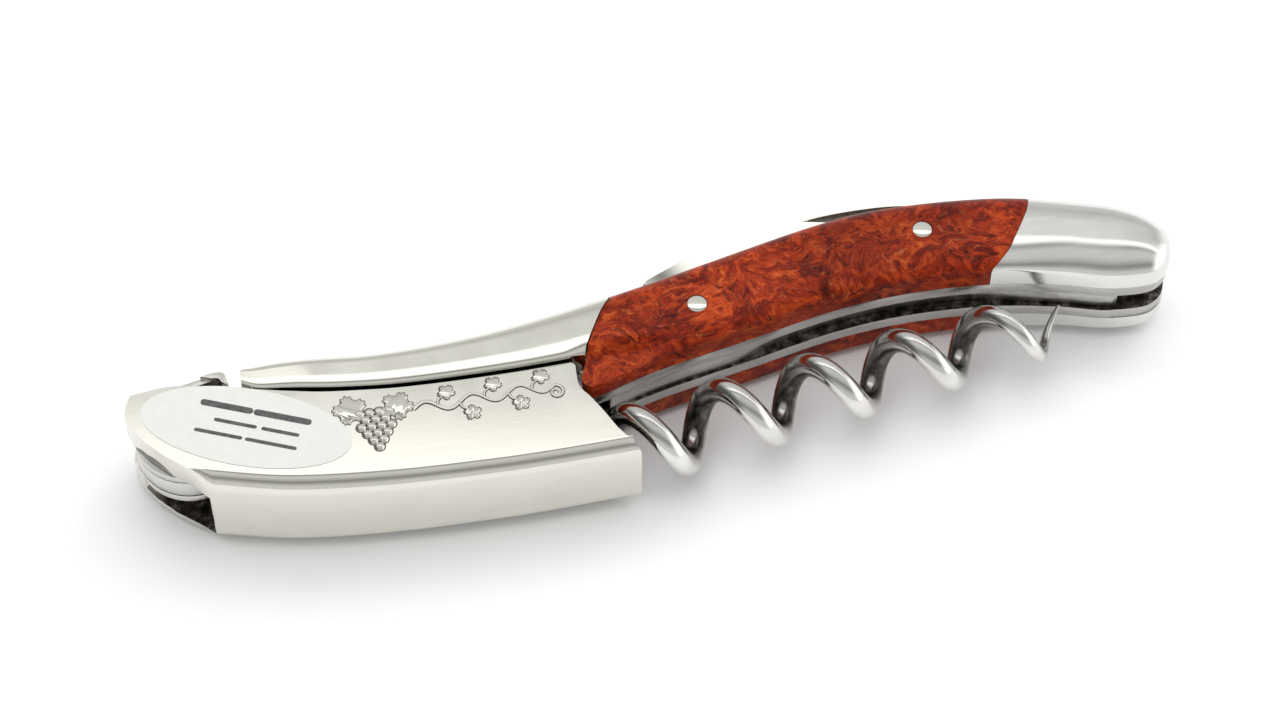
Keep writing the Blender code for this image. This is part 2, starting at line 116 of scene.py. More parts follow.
# Outlines: the few points that each smooth curve runs through.
BACK = [(-47.5, 3.8), (-42.7, 4.05), (-37.0, 3.65), (-30.2, 3.1), (-19.4, 3.5), (-8.6, 4.9), (0.9, 6.6),
        (9.3, 8.5), (19.6, 10.9), (25.4, 12.0), (31.2, 12.6), (40.0, 12.3), (49.2, 11.1), (56.7, 9.0),
        (60.8, 7.1), (63.2, 5.3), (64.4, 4.0), (64.75, 2.9)]
BELLY = [(-8.5, -6.5), (-5.9, -6.2), (1.3, -4.0), (12.7, -1.6), (23.7, 0.7), (33.0, 1.5), (42.6, 1.0),
         (50.5, -0.5), (56.0, -2.1), (60.5, -2.5), (62.6, -1.8), (63.9, -0.2), (64.75, 2.9)]
BOLSTER_BELLY = [(-46.3, 1.2), (-44.6, 0.2), (-41.7, -0.5), (-37.4, -1.4), (-33.0, -2.0), (-28.7, -2.4),
                 (-22.8, -2.6), (-14.8, -2.6), (-6.0, -2.3)]
WOOD_FRONT = [(-6.5, -6.8), (-5.0, -7.8), (-2.4, -6.9), (-0.8, -6.3), (2.9, -4.3), (5.4, -2.6), (7.2, -1.6)]
WOOD_REAR = [(0.6, 42.0), (1.5, 43.3), (2.7, 44.6), (3.9, 45.5), (8.6, 48.4), (11.5, 49.3)]
LEVER_TOP = [(-59.0, 1.5), (-54.0, 1.9), (-47.7, 0.5), (-44.6, -0.2), (-41.7, -0.9), (-37.4, -1.8),
             (-33.0, -2.35), (-28.7, -2.75), (-22.8, -2.95), (-14.8, -2.95), (-8.6, -2.75)]
LEVER_SEAT = [(-8.2, -3.2), (-8.25, -6.0), (-7.2, -7.9), (-6.1, -10.0), (-4.9, -12.6)]
LEVER_WEB_LINE = [(-2.7, -15.6), (-12.3, -15.85), (-19.3, -15.85), (-30.9, -15.4), (-42.4, -14.1),
                  (-51.7, -11.7)]
LEVER_DIAGONAL = [(-53.5, -9.6), (-55.9, -7.55), (-58.0, -5.2), (-59.4, -3.0)]


# Shared helpers -----------------------------------------------------------------------------------

def smooth(points, steps):
    """A smooth curve through the points."""
    points = [np.array(point, float) for point in points]
    line = []
    for index in range(len(points) - 1):
        start = points[index]
        end = points[index + 1]
        before = points[index - 1] if index else 2 * start - end
        after = points[index + 2] if index + 2 < len(points) else 2 * end - start
        for step in range(steps):
            t = step / steps
            square = 2 * before - 5 * start + 4 * end - after
            cube = 3 * start - before - 3 * end + after
            line.append(0.5 * (2 * start + (end - before) * t + square * t * t + cube * t ** 3))
    line.append(points[-1])
    return np.array(line)


def arc(centre, radius, first, last, steps):
    """Points on an arc between two angles in degrees."""
    angles = np.radians(np.linspace(first, last, steps + 1))
    return np.column_stack([centre[0] + radius * np.cos(angles), centre[1] + radius * np.sin(angles)])


def circle(centre, radius, steps):
    return arc(centre, radius, 0, 360 - 360 / steps, steps - 1)


def ease(value):
    """0 below 0, 1 above 1 and a smooth S between."""
    value = np.clip(value, 0.0, 1.0)
    return value * value * (3 - 2 * value)


BEVEL_ANGLE = math.radians(50.0)
BACK_LINE = smooth(BACK, 16)
BELLY_LINE = smooth(BELLY, 16)
BOLSTER_BELLY_LINE = smooth(BOLSTER_BELLY, 16)
WEB_LINE = smooth(LEVER_WEB_LINE, 14)


def at(line, x):
    """The line's Y at X."""
    order = np.argsort(line[:, 0])
    return np.interp(x, line[order, 0], line[order, 1])


def add_object(name, points, faces, made, body=None, crease=35.0):
    """A mesh object from design millimetres that rides on a body.

    A cutter has no material and isn't shown.
    """
    mesh = bpy.data.meshes.new(name)
    corners = [tuple(point * MM) for point in np.array(points, float)]
    mesh.from_pydata(corners, [], [list(map(int, face)) for face in faces])
    work = bmesh.new()
    work.from_mesh(mesh)
    bmesh.ops.remove_doubles(work, verts=work.verts, dist=1e-7)
    bmesh.ops.recalc_face_normals(work, faces=work.faces)
    work.to_mesh(mesh)
    work.free()
    thing = bpy.data.objects.new(name, mesh)
    thing.location = ORIGIN
    bpy.context.scene.collection.objects.link(thing)
    if made is None:
        thing.hide_render = True
        thing.hide_viewport = True
        return thing
    mesh.materials.append(made)
    mesh.shade_smooth()
    mesh.set_sharp_from_angle(angle=math.radians(crease))
    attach(thing, body)
    return thing


def prism(outline_levels):
    """Points and faces of a solid stacked from outlines of equal length, each with its z."""
    points = []
    count = len(outline_levels[0][0])
    for outline, z in outline_levels:
        points += [(x, y, z) for x, y in outline]
    faces = [list(range(count))[::-1], list(range(len(points) - count, len(points)))]
    for level in range(len(outline_levels) - 1):
        low = level * count
        for index in range(count):
            beside = (index + 1) % count
            faces.append([low + index, low + beside, low + count + beside, low + count + index])
    return points, faces


def grid_rim(columns, rows):
    """The indexes round the edge of a grid of (columns + 1) by rows points."""
    rim = [column * rows for column in range(columns)]
    rim += [columns * rows + row for row in range(rows - 1)]
    rim += [column * rows + rows - 1 for column in range(columns, 0, -1)]
    rim += list(range(rows - 1, 0, -1))
    return rim


def plate(name, outline, low, high, made, body=None):
    """A flat piece between two heights."""
    points, faces = prism([(outline, low), (outline, high)])
    return add_object(name, points, faces, made, body)


def apply_modifiers(thing):
    """Bakes the modifiers into the mesh, so that the piece is its own final geometry."""
    graph = bpy.context.evaluated_depsgraph_get()
    baked = bpy.data.meshes.new_from_object(thing.evaluated_get(graph))
    thing.modifiers.clear()
    thing.data = baked


def boolean(thing, cutter, operation="DIFFERENCE"):
    """Cuts or joins, and uses the cutter up."""
    change = thing.modifiers.new("cut", "BOOLEAN")
    change.operation = operation
    change.solver = "EXACT"
    change.object = cutter
    apply_modifiers(thing)
    bpy.data.objects.remove(cutter, do_unlink=True)


def bevel(thing, width, segments):
    """Rounds the edges that are sharper than BEVEL_ANGLE."""
    change = thing.modifiers.new("bevel", "BEVEL")
    change.width = width * MM
    change.segments = segments
    change.limit_method = "ANGLE"
    change.angle_limit = BEVEL_ANGLE
    change.harden_normals = True
    change.use_clamp_overlap = True
    apply_modifiers(thing)
    thing.data.shade_smooth()
    thing.data.set_sharp_from_angle(angle=BEVEL_ANGLE)


# Materials ----------------------------------------------------------------------------------------

WHITE = (1.0, 1.0, 1.0)

# How deep a bump is, in metres.
MARK_DEPTH = 0.00002
GRAIN_DEPTH = 0.00003
FIGURE_DEPTH = 0.00006


class Nodes:
    """Short names for making a material's nodes. Textures lie in the piece's own metres."""

    def __init__(self, name):
        self.material = bpy.data.materials.new(name)
        self.material.use_nodes = True
        self.tree = self.material.node_tree
        self.shader = self.tree.nodes["Principled BSDF"]
        coordinates = self.add("ShaderNodeTexCoord")
        self.place = coordinates.outputs["Object"]
        self.facing = coordinates.outputs["Normal"]

    def add(self, kind, **settings):
        node = self.tree.nodes.new(kind)
        for key, value in settings.items():
            setattr(node, key, value)
        return node

    def link(self, source, target):
        self.tree.links.new(source, target)

    def math(self, operation, first, second=0.0):
        node = self.add("ShaderNodeMath", operation=operation)
        for socket, value in zip(node.inputs, (first, second)):
            if isinstance(value, bpy.types.NodeSocket):
                self.link(value, socket)
            else:
                socket.default_value = value
        return node.outputs["Value"]

    def parts(self, vector):
        node = self.add("ShaderNodeSeparateXYZ")
        self.link(vector, node.inputs["Vector"])
        return node.outputs

    def mapped(self, scale=(1.0, 1.0, 1.0), rotation=(0.0, 0.0, 0.0), source=None):
        node = self.add("ShaderNodeMapping")
        node.inputs["Scale"].default_value = scale
        node.inputs["Rotation"].default_value = rotation
        self.link(source or self.place, node.inputs["Vector"])
        return node.outputs["Vector"]

    def noise(self, vector, scale, detail=4.0, rough=0.55, distortion=0.0):
        node = self.add("ShaderNodeTexNoise")
        node.inputs["Scale"].default_value = scale
        node.inputs["Detail"].default_value = detail
        node.inputs["Roughness"].default_value = rough
        node.inputs["Distortion"].default_value = distortion
        self.link(vector, node.inputs["Vector"])
        return node.outputs["Fac"]

    def ramp(self, source, stops):
        node = self.add("ShaderNodeValToRGB")
        while len(node.color_ramp.elements) < len(stops):
            node.color_ramp.elements.new(0.5)
        for element, (position, colour) in zip(node.color_ramp.elements, stops):
            element.position = position
            element.color = (*colour, 1.0)
        self.link(source, node.inputs["Fac"])
        return node.outputs["Color"]

    def spread(self, source, low, high, start=0.3, end=0.7):
        """Low at start and high at end of the source's range, held there beyond."""
        node = self.add("ShaderNodeMapRange")
        node.inputs["From Min"].default_value = start
        node.inputs["From Max"].default_value = end
        node.inputs["To Min"].default_value = low
        node.inputs["To Max"].default_value = high
        self.link(source, node.inputs["Value"])
        return node.outputs["Result"]

    def mix(self, blend, factor, first, second):
        node = self.add("ShaderNodeMix", data_type="RGBA", blend_type=blend)
        for key, value in (("Factor", factor), ("A", first), ("B", second)):
            socket = node.inputs[key]
            if isinstance(value, bpy.types.NodeSocket):
                self.link(value, socket)
            elif isinstance(value, tuple):
                socket.default_value = (*value, 1.0)
            else:
                socket.default_value = value
        return node.outputs["Result"]

    def bump(self, height, strength, distance, normal=None):
        node = self.add("ShaderNodeBump")
        node.inputs["Strength"].default_value = strength
        node.inputs["Distance"].default_value = distance
        self.link(height, node.inputs["Height"])
        if normal is not None:
            self.link(normal, node.inputs["Normal"])
        return node.outputs["Normal"]


def inner_mask(n, depth, channel):
    """Painted shade in hollows: 1 on faces that look inwards within the given half distance of the
    mid-plane, in millimetres.

    In the lever's channel the web's inner side counts too, and the nose is left unshaded.
    """
    place = n.parts(n.place)
    facing = n.parts(n.facing)
    height = n.math("ABSOLUTE", place["Z"])

    def within(half):
        return n.math("LESS_THAN", height, (half + 0.05) * MM)

    towards_middle = n.math("MULTIPLY", facing["Z"], n.math("SIGN", place["Z"]))
    sideways = n.math("GREATER_THAN", n.math("ABSOLUTE", facing["Z"]), 0.5)
    middle_layer = n.math("MULTIPLY", within(CENTRE_HALF), sideways)
    flat = n.math("MAXIMUM", n.math("LESS_THAN", towards_middle, -0.5), middle_layer)
    unshaded_to, shaded_from = (-61.0, -57.0) if channel else (-90.0, -80.0)
    if channel:
        towards_back = n.math("GREATER_THAN", facing["Y"], 0.4)
        flat = n.math("MAXIMUM", flat, n.math("MULTIPLY", within(LEVER_INNER), towards_back))
    along = n.spread(place["X"], 0.0, 1.0, unshaded_to * MM, shaded_from * MM)
    return n.math("MULTIPLY", n.math("MULTIPLY", within(depth), flat), along)


# Each steel: its bright and dull colour, its range of roughness, and how strongly polishing marks and fine
# scratches show.
POLISHED = ((0.80, 0.79, 0.725), (0.775, 0.765, 0.70), (0.05, 0.10), 0.012, 0.02)
BUTT = ((0.80, 0.80, 0.78), (0.75, 0.75, 0.73), (0.13, 0.21), 0.04, 0.02)
SATIN = ((0.58, 0.57, 0.55), (0.40, 0.395, 0.385), (0.26, 0.38), 0.40, 0.20)
# Painted highlight on the claw: its brighter colour and the X up to which it is laid.
CLAW_HIGHLIGHT_COLOUR = (0.72, 0.71, 0.68)
CLAW_HIGHLIGHT_TO = -47.6
# Painted shade in hollows: how near the mid-plane it reaches on the liners, and its dark speckle colours.
LINER_PAINTED_SHADE_HALF = 1.45
PAINTED_SHADE_COLOURS = [(0.38, (0.024, 0.021, 0.018)), (0.52, (0.12, 0.107, 0.09)), (0.64, (0.40, 0.37, 0.33))]


def steel_material(name, look, painted_shade_half=None, channel=False, painted_highlight_to=None):
    """Stainless steel: long polishing marks along X, cloudy handling marks and fine scratches.

    Faces that look inwards within the given half distance of the mid-plane carry painted shade, a dark and
    dull speckle. A painted highlight, a brighter colour, covers the steel up to the given X.
    """
    bright, dull, (rough_low, rough_high), brush, scratch = look
    n = Nodes(name)
    marks = n.noise(n.mapped((30.0, 1500.0, 1500.0)), 1.0, 6.0, 0.65)
    clouds = n.noise(n.mapped(), 160.0, 5.0, 0.6)
    hairs = n.noise(n.mapped((260.0, 2600.0, 2600.0), (0.2, 0.1, 0.9)), 1.0, 3.0, 0.5)
    colour = n.mix("MIX", n.spread(marks, 0.0, 1.0), dull, bright)
    cloudy = n.ramp(clouds, [(0.3, (0.84, 0.83, 0.82)), (0.65, WHITE)])
    colour = n.mix("MULTIPLY", 0.25, colour, cloudy)
    rough = n.spread(clouds, rough_low, rough_high, 0.35, 0.7)
    # Painted highlight: a brighter colour on the steel up to the given X.
    if painted_highlight_to is not None:
        worn = n.spread(n.parts(n.place)["X"], 1.0, 0.0, painted_highlight_to * MM, (painted_highlight_to + 0.6) * MM)
        colour = n.mix("MIX", worn, colour, CLAW_HIGHLIGHT_COLOUR)
    # Painted shade: faces that look inwards near the mid-plane get a dark speckle and more roughness.
    if painted_shade_half is not None:
        mask = inner_mask(n, painted_shade_half, channel)
        speckle = n.noise(n.mapped(), 700.0, 5.0, 0.65)
        colour = n.mix("MIX", mask, colour, n.ramp(speckle, PAINTED_SHADE_COLOURS))
        rough = n.math("MAXIMUM", rough, n.math("MULTIPLY", mask, 0.5))
    n.link(colour, n.shader.inputs["Base Color"])
    n.shader.inputs["Metallic"].default_value = 1.0
    n.link(rough, n.shader.inputs["Roughness"])
    normal = n.bump(marks, brush, MARK_DEPTH)
    normal = n.bump(hairs, scratch, MARK_DEPTH, normal)
    n.link(normal, n.shader.inputs["Normal"])
    return n.material


def worm_material():
    """Bent wire: bright outside, with painted shade, dark and rougher, on the side that faces the axis of
    the spiral.
    """
    n = Nodes("worm_steel")
    place = n.parts(n.place)
    climb = n.math("MULTIPLY", place["X"], math.tan(WORM_SLOPE))
    axis_y = n.math("ADD", climb, WORM_AXIS_Y * MM)
    radial = n.add("ShaderNodeCombineXYZ")
    n.link(n.math("SUBTRACT", place["Y"], axis_y), radial.inputs["Y"])
    n.link(place["Z"], radial.inputs["Z"])
    outwards = n.add("ShaderNodeVectorMath", operation="NORMALIZE")
    n.link(radial.outputs["Vector"], outwards.inputs[0])
    facing = n.add("ShaderNodeVectorMath", operation="DOT_PRODUCT")
    n.link(outwards.outputs["Vector"], facing.inputs[0])
    n.link(n.facing, facing.inputs[1])
    grain = n.noise(n.mapped(), 900.0, 5.0, 0.65)
    clouds = n.noise(n.mapped(), 220.0, 5.0, 0.6)
    turned = n.math("ADD", facing.outputs["Value"], n.spread(clouds, -0.25, 0.25))
    # Painted shade: the share of dark colour grows on faces that turn towards the spiral's axis.
    mask = n.spread(turned, 1.0, 0.0, -0.75, 0.15)
    # Less painted shade on the top of the wire and on its last turn, so these stay brighter.
    mask = n.math("MULTIPLY", mask, n.spread(n.parts(n.facing)["Z"], 1.0, 0.25, 0.88, 0.985))
    mask = n.math("MULTIPLY", mask, n.spread(place["X"], 1.0, 0.3, 44.0 * MM, 49.0 * MM))
    tone = n.spread(clouds, 0.0, 1.0)
    bright = n.mix("MIX", tone, (0.62, 0.61, 0.59), (0.80, 0.79, 0.77))
    dark = n.ramp(grain, [(0.35, (0.03, 0.028, 0.025)), (0.68, (0.15, 0.14, 0.13))])
    n.link(n.mix("MIX", mask, bright, dark), n.shader.inputs["Base Color"])
    n.shader.inputs["Metallic"].default_value = 1.0
    rough = n.math("ADD", n.spread(clouds, 0.10, 0.18), n.math("MULTIPLY", mask, 0.22))
    n.link(rough, n.shader.inputs["Roughness"])
    n.link(n.bump(grain, 0.12, GRAIN_DEPTH), n.shader.inputs["Normal"])
    return n.material


def speckled_material(name, noise, dark, light, rough, metallic=0.0, bump=0.0):
    """A dull material with a fine speckle, whose noise has a scale, a detail and a roughness."""
    n = Nodes(name)
    speck = n.noise(n.mapped(), *noise)
    n.link(n.ramp(speck, [(0.3, dark), (0.7, light)]), n.shader.inputs["Base Color"])
    n.shader.inputs["Metallic"].default_value = metallic
    n.link(n.spread(speck, *rough), n.shader.inputs["Roughness"])
    if bump:
        n.link(n.bump(speck, bump, MARK_DEPTH), n.shader.inputs["Normal"])
    return n.material


FIGURE_COLOURS = [(0.30, (0.055, 0.006, 0.003)), (0.42, (0.16, 0.013, 0.004)), (0.52, (0.33, 0.030, 0.005)),
                  (0.62, (0.47, 0.066, 0.011)), (0.76, (0.70, 0.165, 0.035))]


def burl_material():
    """Red-brown burl: swirling figure, dark eyes, bright flecks, fine pores and a thin clear finish."""
    n = Nodes("burl_wood")
    warp = n.noise(n.mapped(), 130.0, 4.0, 0.6, 0.6)
    bent = n.add("ShaderNodeVectorMath", operation="MULTIPLY_ADD")
    bent.inputs[1].default_value = (0.011, 0.011, 0.011)
    n.link(warp.node.outputs["Color"], bent.inputs[0])
    n.link(n.place, bent.inputs[2])

    def grown(stretch, turn):
        """Bent coordinates, drawn out along the grain and turned about Z."""
        return n.mapped((stretch, 1.0, 1.0), (0.0, 0.0, turn), bent.outputs["Vector"])

    figure = n.noise(grown(0.65, -0.35), 330.0, 8.0, 0.62, 1.7)
    base = n.ramp(figure, FIGURE_COLOURS)
    patches = n.noise(grown(0.7, 0.5), 90.0, 3.0, 0.5, 0.4)
    shade = n.ramp(patches, [(0.35, (0.45, 0.34, 0.30)), (0.62, WHITE)])
    base = n.mix("MULTIPLY", 0.75, base, shade)
    cells = n.add("ShaderNodeTexVoronoi", feature="SMOOTH_F1")
    cells.inputs["Scale"].default_value = 340.0
    n.link(grown(0.8, 0.2), cells.inputs["Vector"])
    eyes = n.ramp(cells.outputs["Distance"], [(0.04, (0.20, 0.13, 0.10)), (0.20, WHITE)])
    base = n.mix("MULTIPLY", 0.8, base, eyes)
    flecks = n.noise(grown(0.35, -0.5), 1100.0, 4.0, 0.6, 0.5)
    light = n.ramp(flecks, [(0.58, (0.0, 0.0, 0.0)), (0.78, (0.50, 0.17, 0.05))])
    base = n.mix("SCREEN", 0.55, base, light)
    pores = n.noise(n.mapped((0.3, 1.0, 1.0), (0.0, 0.0, -0.3)), 2600.0, 2.0, 0.5)
    holes = n.ramp(pores, [(0.30, (0.35, 0.28, 0.25)), (0.42, WHITE)])
    n.link(n.mix("MULTIPLY", 0.5, base, holes), n.shader.inputs["Base Color"])
    n.link(n.spread(figure, 0.30, 0.42), n.shader.inputs["Roughness"])
    n.shader.inputs["Specular IOR Level"].default_value = 0.10
    n.shader.inputs["Coat Weight"].default_value = 0.04
    n.shader.inputs["Coat Roughness"].default_value = 0.20
    normal = n.bump(pores, 0.12, GRAIN_DEPTH)
    normal = n.bump(figure, 0.10, FIGURE_DEPTH, normal)
    n.link(normal, n.shader.inputs["Normal"])
    return n.material


# Domed side pieces --------------------------------------------------------------------------------

WOOD_FRONT_LINE = smooth(WOOD_FRONT, 10)
WOOD_REAR_LINE = smooth(WOOD_REAR, 10)
ROWS = 45
BOLSTER_FRONT_X = -46.35
BUTT_END_X = 64.75

# How a side piece's height changes along X: where a change starts and how far it takes, in millimetres.
EDGE_RISE = 0.50
MIDDLE_SWELL = 0.45
SWELLING = (-14.0, 24.0)
NOSE_THINNING = 0.75
THICKENING = (-47.0, 9.0)
WALL_SHARE = 0.60
BUTT_WALL_DROP = 0.22
BUTT_SOFTENING = (44.0, 10.0)
BACK_WALL_SHARE = 0.80
BACK_WALL_RISING = (-30.0, 30.0)
BOLSTER_WALL_RISE = 0.33
BOLSTER_WALL_RISING = (-2.0, -8.0)
BUTT_ROUNDING = (56.6, 8.15)
WOOD_LOWERING = (-1.0, 7.0)
BELLY_LEVEL = 2.35
BELLY_LEVEL_RISE = 1.3
DOME_TOP = 0.981


def changed(value, change):
    """How much of a change is done, from 0 to 1."""
    start, length = change
    return ease((value - start) / length)


def front_edge_of_wood(y):
    return float(np.interp(y, WOOD_FRONT_LINE[:, 0], WOOD_FRONT_LINE[:, 1]))


def rear_edge_of_wood(y):
    return float(np.interp(y, WOOD_REAR_LINE[:, 0], WOOD_REAR_LINE[:, 1]))


def dome_height(across, x, y, kind):
    """Height of a side piece above its inner face. across runs from -1 at the belly to 1 at the back."""
    full = HALF_THICKNESS - SCALE_INNER - MIDDLE_SWELL * (1 - changed(x, SWELLING))
    full -= NOSE_THINNING * (1 - changed(x, THICKENING))
    steep = WALL_SHARE - BUTT_WALL_DROP * changed(x, BUTT_SOFTENING)
    if kind == "butt":
        start, length = BUTT_ROUNDING
        fallen = max(0.0, (x - start) / length) ** 3.2
        full = EDGE_RISE + (full - EDGE_RISE) * math.sqrt(max(0.0, 1 - fallen))
    belly_of_bolster = kind == "front" and across < 0
    wall = steep * full
    if across >= 0:
        wall = EDGE_RISE + (BACK_WALL_SHARE * steep * full - EDGE_RISE) * changed(x, BACK_WALL_RISING)
    elif kind == "front":
        wall = (steep + BOLSTER_WALL_RISE * changed(x, BOLSTER_WALL_RISING)) * full
    bend = math.sqrt(max(0.0, 1 - abs(across) ** (4.0 if belly_of_bolster else 2.6)))
    wall = min(wall, full)
    height = wall + (full - wall) * min(1.0, bend / DOME_TOP)
    if kind == "wood":
        reach = 1 - changed(x, WOOD_LOWERING)
        level = BELLY_LEVEL + BELLY_LEVEL_RISE * ease((y + 2.6) / 1.7)
        height = min(height, level * reach + full * (1 - reach))
    return height


def ends_of(kind, t):
    """The X of a side piece's front and rear end, at a share t of the way from the belly to the back."""
    if kind == "front":
        left = BOLSTER_FRONT_X + 1.5 * ease((t - 0.45) / 0.55) ** 2
        return left, front_edge_of_wood(-2.3 + 8.2 * t) - SEAM
    rear = rear_edge_of_wood(0.8 + 10.4 * t)
    if kind == "wood":
        return front_edge_of_wood(-6.4 + 12.6 * t) + SEAM, rear - SEAM
    return rear + SEAM, BUTT_END_X


def side_piece(name, kind, columns, side, made):
    """A bolster or a scale: a grid between the belly and back lines, domed outwards on the given side."""
    belly = BOLSTER_BELLY_LINE if kind == "front" else BELLY_LINE
    points = []
    for s in np.linspace(0.0, 1.0, columns + 1):
        for across in np.sin(np.linspace(-math.pi / 2, math.pi / 2, ROWS)):
            t = (across + 1) / 2
            left, right = ends_of(kind, t)
            x = left + (right - left) * (math.sin(s * math.pi / 2) if kind == "butt" else s)
            low = float(at(belly, x))
            high = float(at(BACK_LINE, x))
            y = low + (high - low) * t
            points.append((x, y, side * (SCALE_INNER + dome_height(across, x, y, kind))))
    total = len(points)
    points += [(x, y, side * SCALE_INNER) for x, y, z in points]
    faces = []
    for column in range(columns):
        for row in range(ROWS - 1):
            corner = column * ROWS + row
            faces.append([corner, corner + ROWS, corner + ROWS + 1, corner + 1])
    rim = grid_rim(columns, ROWS)
    for index, start in enumerate(rim):
        end = rim[(index + 1) % len(rim)]
        faces.append([start, start + total, end + total, end])
    faces.append([index + total for index in rim])
    return add_object(name, points, faces, made, "handle", crease=42.0)


def build_sides(steel, butt_steel, wood):
    for name, side in (("near", 1), ("far", -1)):
        front = side_piece("look_front_bolster_" + name, "front", 110, side, steel)
        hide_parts("front_bolster_" + name)
        scale = side_piece("look_scale_" + name, "wood", 120, side, wood)
        for centre in SCALE_PINS.values():
            hole = circle(centre, SCALE_PIN_RADIUS + 0.05, 48)
            boolean(scale, plate("hole", hole, -THROUGH, THROUGH, None))
        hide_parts("scale_" + name)
        butt = side_piece("look_butt_bolster_" + name, "butt", 80, side, butt_steel)
        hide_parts("butt_bolster_" + name)


# Flat pieces --------------------------------------------------------------------------------------

# Cutters reach past the handle's front end and belly.
CLEAR_X = -75.0
CLEAR_Y = -25.0


def claw_and_tang():
    """From the belly side of the tang, round the nose, out to the crown-cap claw and back to the handle."""
    tang = arc(LEVER_PIVOT, TANG_RADIUS, -40, -250, 60)
    claw = smooth([(-54.1, 4.4), (-52.3, 4.75), (-50.6, 5.1), (-49.1, 5.3), (-48.2, 4.9), (-47.9, 3.4)], 8)
    notch = smooth([(-49.0, 2.9), (-50.6, 2.7), (-51.2, 2.1), (-50.4, 1.3), (-48.6, 1.15), (-46.3, 1.35)],
                   6)
    return np.vstack([tang, claw, notch])


def liner_outline():
    back = np.array([(x, float(at(BACK_LINE, x)) - 0.12) for x in np.linspace(-46.1, 56.0, 120)])
    butt = BACK_LINE[BACK_LINE[:, 0] > 56.5] - np.array([0.12, 0.12])
    rounding = BELLY_LINE[(BELLY_LINE[:, 0] > 57.0) & (BELLY_LINE[:, 0] < 64.6)][::-1]
    belly = np.array([(x, float(at(BELLY_LINE, x))) for x in np.linspace(56.5, -4.5, 80)])
    lobe = arc(WORM_PIVOT, 3.2, 20, -196, 40)
    front = np.array([(-16.5, -6.6), (-30.0, -6.6), (-42.0, -6.6), (-47.0, -6.5)])
    return np.vstack([claw_and_tang(), back, butt, rounding + np.array([-0.12, 0.08]), belly, lobe, front])


def build_liners(grey):
    """Both liners: milled thinner where the lever folds over them, with a hollow worn in the claw's top."""
    outline = liner_outline()
    mill = np.vstack([[(CLEAR_X, -30.0), (-6.0, -30.0), (-8.0, -8.0), (-7.9, -5.4), (-7.4, -2.9)],
                      BOLSTER_BELLY_LINE[BOLSTER_BELLY_LINE[:, 0] < -7.6][::-1],
                      [(-46.6, 1.4), (CLEAR_X, 1.4)]])
    hollow = smooth([(-52.7, 3.2), (-51.7, 4.0), (-50.5, 4.4), (-49.4, 4.55), (-48.85, 4.25), (-48.5, 3.4)],
                    8)
    hollow = np.vstack([hollow, [(-48.4, 2.0), (-52.7, 2.0)]])
    for name, side in (("near", 1), ("far", -1)):
        low, high = sorted((side * LINER_INNER, side * LINER_OUTER))
        liner = plate("look_liner_" + name, outline, low, high, grey, "handle")
        low, high = sorted((side * LINER_MILLED, side * 4.0))
        boolean(liner, plate("mill", mill, low, high, None))
        boolean(liner, plate("nose", circle(LEVER_PIVOT, 7.3, 64), low, high, None))
        low, high = sorted((side * 1.0, side * 4.0))
        boolean(liner, plate("hollow", hollow, low, high, None))
        bevel(liner, 0.20, 4)
        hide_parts("liner_" + name)


def centre_plate(node, outline, width, grey):
    thing = plate("look_" + node, outline, -CENTRE_HALF, CENTRE_HALF, grey, "handle")
    bevel(thing, width, 2)
    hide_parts(node)


def build_centre_plates(grey):
    """The front spacer, and the spring behind the foil knife with its groove along the belly."""
    back = np.array([(x, float(at(BACK_LINE, x)) - 0.2) for x in np.linspace(-46.1, -1.2, 60)])
    front = np.array([(-1.2, 1.4), (-5.0, -1.2), (-10.0, -2.6), (-16.0, -3.4), (-17.5, -6.6), (-30.0, -6.6),
                      (-42.0, -6.6), (-47.0, -6.5)])
    outline = np.vstack([claw_and_tang(), back, front])
    centre_plate("front_spacer", outline, 0.10, grey)

    front = np.array([(-4.9, -1.9), (-0.85, 1.0), (-0.85, 4.6)])
    top = smooth([(1.0, 5.6), (8.0, 6.0), (16.0, 5.4), (26.0, 5.9), (35.0, 5.9), (42.0, 4.8), (48.0, 2.8),
                  (52.0, 1.3), (55.8, 1.05), (57.3, 0.6), (57.7, -0.3)], 10)
    along = np.linspace(57.5, -4.6, 110)
    depth = SPRING_RECESS + SPRING_GROOVE * ease((along - 10.0) / 9.0)
    depth -= SPRING_RISE * ease((along - 38.0) / 12.0)
    belly = np.column_stack([along, at(BELLY_LINE, along) + depth])
    centre_plate("blade_spring", np.vstack([front, top, belly]), 0.12, grey)


# Each pin: its centre, radius, half length and how far its ends are domed.
PINS = {"scale_pin_front": (SCALE_PINS["front"], SCALE_PIN_RADIUS, 6.98, 0.16),
        "scale_pin_rear": (SCALE_PINS["rear"], SCALE_PIN_RADIUS, 6.98, 0.16),
        "lever_pin": (LEVER_PIVOT, 1.60, LEVER_OUTER + 0.55, 0.02),
        "bolster_pin_1": ((-38.0, 1.2), 1.0, 4.9, 0.02),
        "bolster_pin_2": ((-16.0, 0.9), 1.0, 4.9, 0.02),
        "blade_pin": (BLADE_PIVOT, 1.6, 4.7, 0.02),
        "worm_pin": (WORM_PIVOT, 1.6, 2.35, 0.02)}


def build_pins(steel):
    """Round pins with gently domed and polished ends."""
    steps = 12
    for node, (centre, radius, half, dome) in PINS.items():
        levels = []
        for step in range(steps + 1):
            angle = math.pi / 2 * step / steps
            size = radius * (math.sin(angle) if step < steps else 1.0)
            levels.append((max(size, 0.02), half + dome * math.cos(angle)))
        levels = [(size, -z) for size, z in levels] + levels[::-1]
        points, faces = prism([(circle(centre, size, 40), z) for size, z in levels])
        pin = add_object("look_" + node, points, faces, steel, "handle", crease=60.0)
        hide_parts(node)


# Lever, label and relief --------------------------------------------------------------------------

